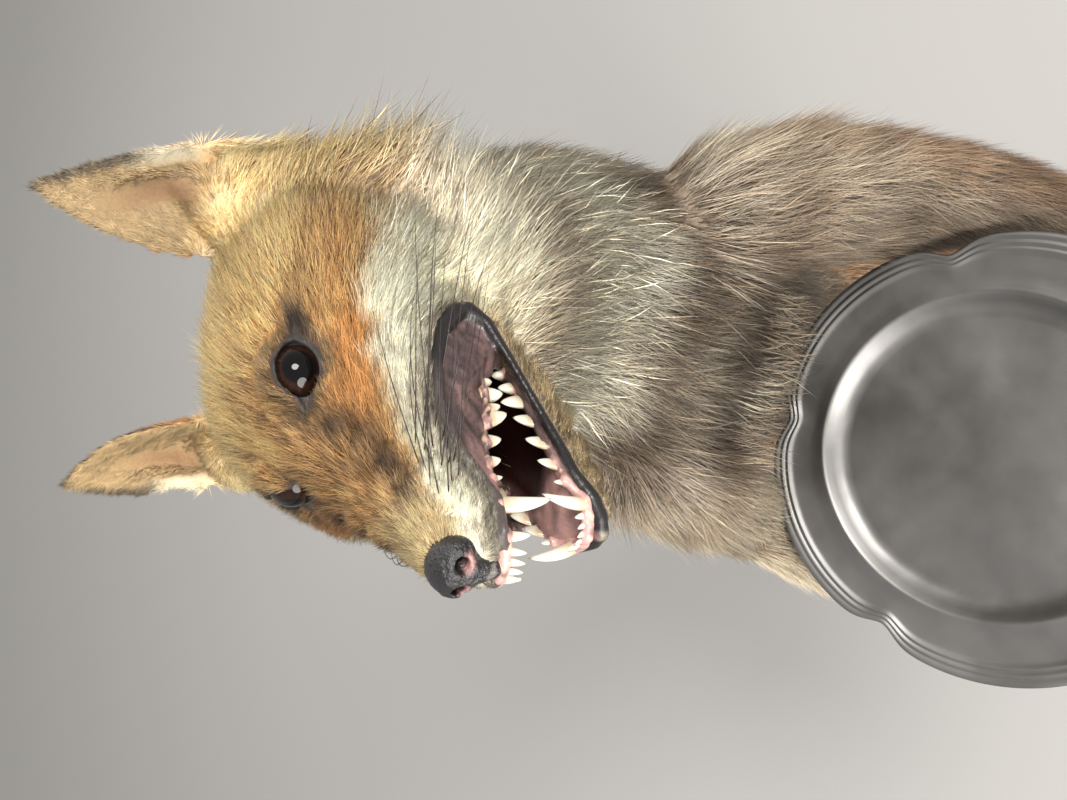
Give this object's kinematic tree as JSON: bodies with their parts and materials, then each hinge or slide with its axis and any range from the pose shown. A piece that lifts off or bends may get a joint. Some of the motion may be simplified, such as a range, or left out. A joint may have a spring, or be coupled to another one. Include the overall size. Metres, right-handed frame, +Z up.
{
  "type": "taxidermy red fox",
  "caption": "Life-size taxidermy red fox mounted upright as a butler on a plain board, snarling, its forelegs holding a lobed pewter plate before its belly.",
  "frame": {"origin": "middle of the underside of the board", "axes": "+Z up the standing fox, -Y the way its chest faces, +X towards its left side"},
  "size_m": [0.32, 0.5219, 0.8565],
  "materials": {
    "fur_ginger": "long ginger coat with grey and white tips",
    "fur_pale": "pale cream and grey throat and neck coat",
    "fur_chest": "taupe chest and belly coat with paler bands",
    "fur_dark": "short dark stockings",
    "fur_brush": "long loose brush with a white tip",
    "eye_glass": "polished",
    "nose_leather": "pebbled, half dull",
    "teeth": "glazed ivory, on pink gums",
    "pewter": "worn satin grey",
    "board": "dark varnish"
  },
  "bodies": {
    "root": {"stand_base": "board", "plate": "pewter", "trunk": "fur_chest", "neck": "fur_pale", "head": "fur_ginger", "lower_jaw": "fur_pale", "nose": "nose_leather", "upper_teeth": "teeth", "lower_teeth": "teeth", "tail": "fur_brush", "upper_arm_left": "fur_ginger", "forearm_left": "fur_ginger", "forepaw_left": "fur_dark", "thigh_left": "fur_ginger", "shank_left": "fur_ginger", "hind_foot_left": "fur_dark", "eye_left": "eye_glass", "ear_left": "fur_ginger", "upper_arm_right": "fur_ginger", "forearm_right": "fur_ginger", "forepaw_right": "fur_dark", "thigh_right": "fur_ginger", "shank_right": "fur_ginger", "hind_foot_right": "fur_dark", "eye_right": "eye_glass", "ear_right": "fur_ginger"}
  },
  "joints": []
}
